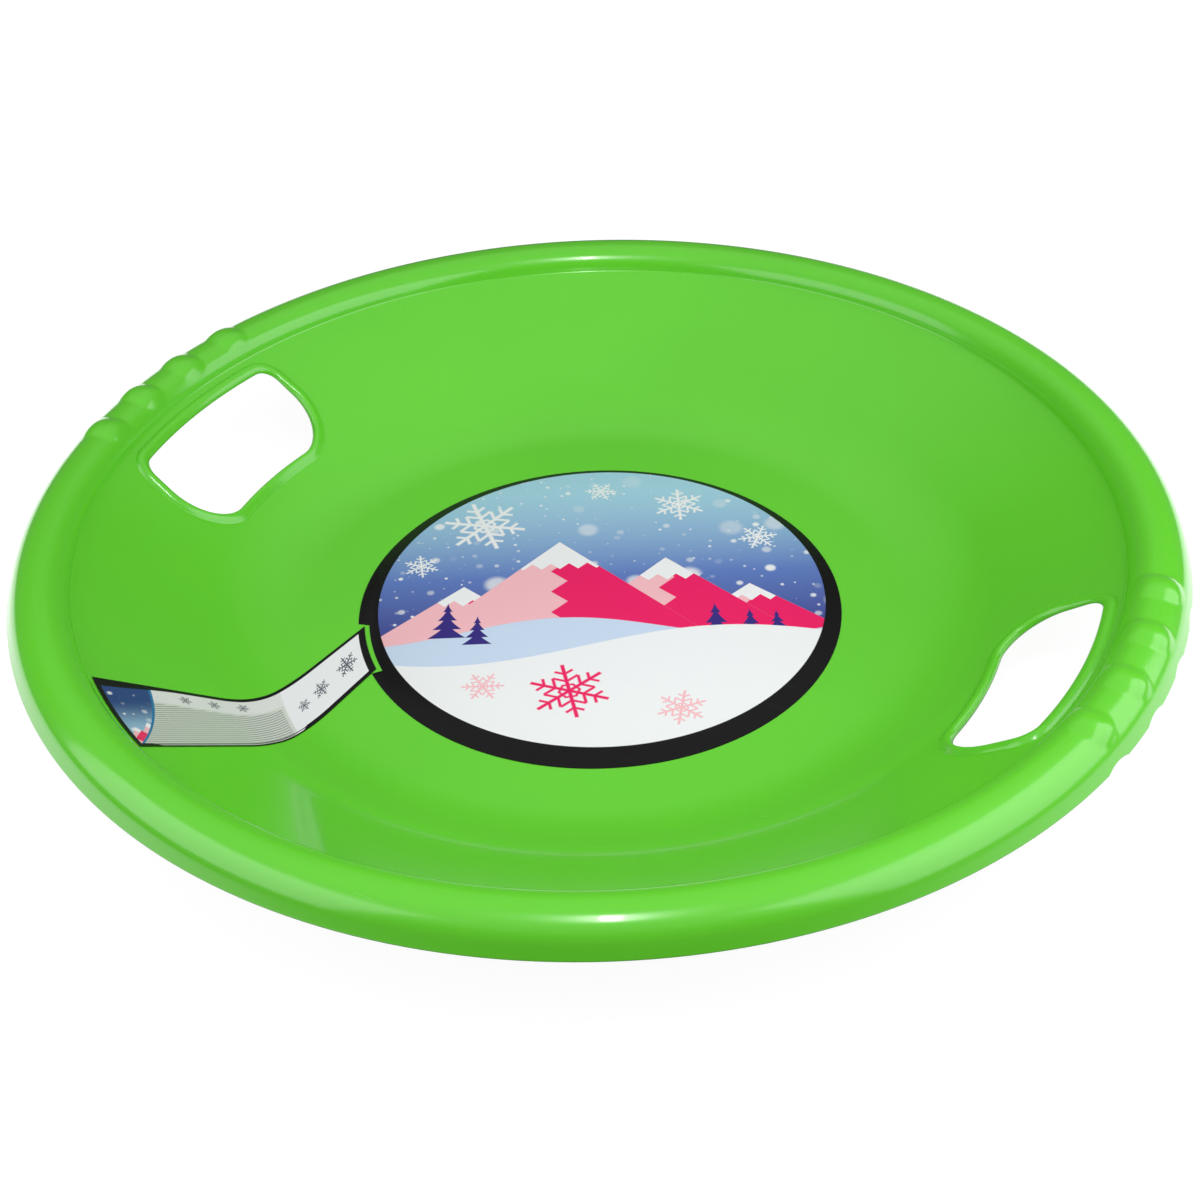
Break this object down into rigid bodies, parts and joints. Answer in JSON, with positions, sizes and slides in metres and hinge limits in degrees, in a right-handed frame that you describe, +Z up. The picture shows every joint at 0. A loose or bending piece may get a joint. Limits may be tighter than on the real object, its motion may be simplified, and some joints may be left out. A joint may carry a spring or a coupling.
{
  "type": "saucer sled",
  "caption": "Round plastic saucer sled: a shallow glossy dish with a rolled rim, lipped hand openings with finger grips, a round floor decal and a long side label.",
  "frame": {"origin": "centre of the floor's underside, on the surface that the sled rests on", "axes": "+Z up along the dish's axis; the two hand openings lie on +X and -X"},
  "size_m": [0.6, 0.5998, 0.0737],
  "materials": {
    "green_plastic": "glossy moulded lime green",
    "decal_film": "glossy printed film, black border round a blue field",
    "label_film": "satin printed film, pale field with a black border"
  },
  "bodies": {
    "root": {"dish": "green_plastic", "centre_decal": "decal_film", "side_label": "label_film"}
  },
  "joints": []
}
